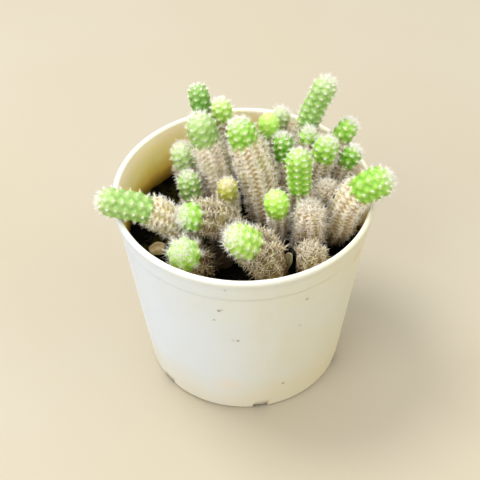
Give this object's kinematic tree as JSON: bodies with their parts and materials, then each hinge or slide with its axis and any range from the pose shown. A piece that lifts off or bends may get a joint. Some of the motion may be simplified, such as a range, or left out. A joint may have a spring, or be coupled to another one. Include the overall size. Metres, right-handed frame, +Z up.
{
  "type": "potted peanut cactus",
  "caption": "Small clump of finger-like, spiny cactus stems growing from dark soil in a plain tapered plastic pot, some of them leaning out over its rim.",
  "frame": {"origin": "centre of the pot's flat underside, where it meets the surface that it stands on", "axes": "+Z up along the pot's axis, -Y towards the picture's viewer, +X to that viewer's right"},
  "size_m": [0.1106, 0.1, 0.1152],
  "materials": {
    "pot_plastic": "satin off-white, slightly yellowed",
    "soil": "dark crumbly potting mix",
    "stem_fresh": "bright yellow-green new growth on a corky body",
    "stem_leaf": "leaf green new growth on a corky body",
    "stem_bluish": "pale bluish green new growth on a corky body",
    "stem_olive": "olive yellow new growth on a corky body",
    "stem_corky": "grey-brown cork under cream spines",
    "pebble": "rough tan stone",
    "dry_husk": "dry straw-coloured skin"
  },
  "bodies": {
    "root": {"pot": "pot_plastic", "soil": "soil", "stem_left_over_rim": "stem_bluish", "stem_front_left": "stem_fresh", "stem_arched": "stem_leaf", "stem_front_centre": "stem_leaf", "stem_bright_bud": "stem_fresh", "stem_corky_right": "stem_corky", "stem_corky_front": "stem_corky", "stem_bright_finger": "stem_leaf", "stem_central": "stem_leaf", "stem_centre_left": "stem_bluish", "stem_back_left": "stem_bluish", "stem_back_bud": "stem_leaf", "stem_smooth_bud": "stem_fresh", "stem_back_low": "stem_bluish", "stem_behind_finger": "stem_leaf", "stem_fuzzy_bud": "stem_leaf", "stem_right_light": "stem_leaf", "stem_right_small": "stem_leaf", "stem_back_right": "stem_leaf", "stem_tall_back": "stem_bluish", "stem_right_over_rim": "stem_leaf", "stem_pale_stub": "stem_corky", "stem_left_shaded": "stem_bluish", "stem_left_green": "stem_bluish", "stem_olive_bud": "stem_olive", "pebble": "pebble", "dry_husk": "dry_husk"}
  },
  "joints": []
}
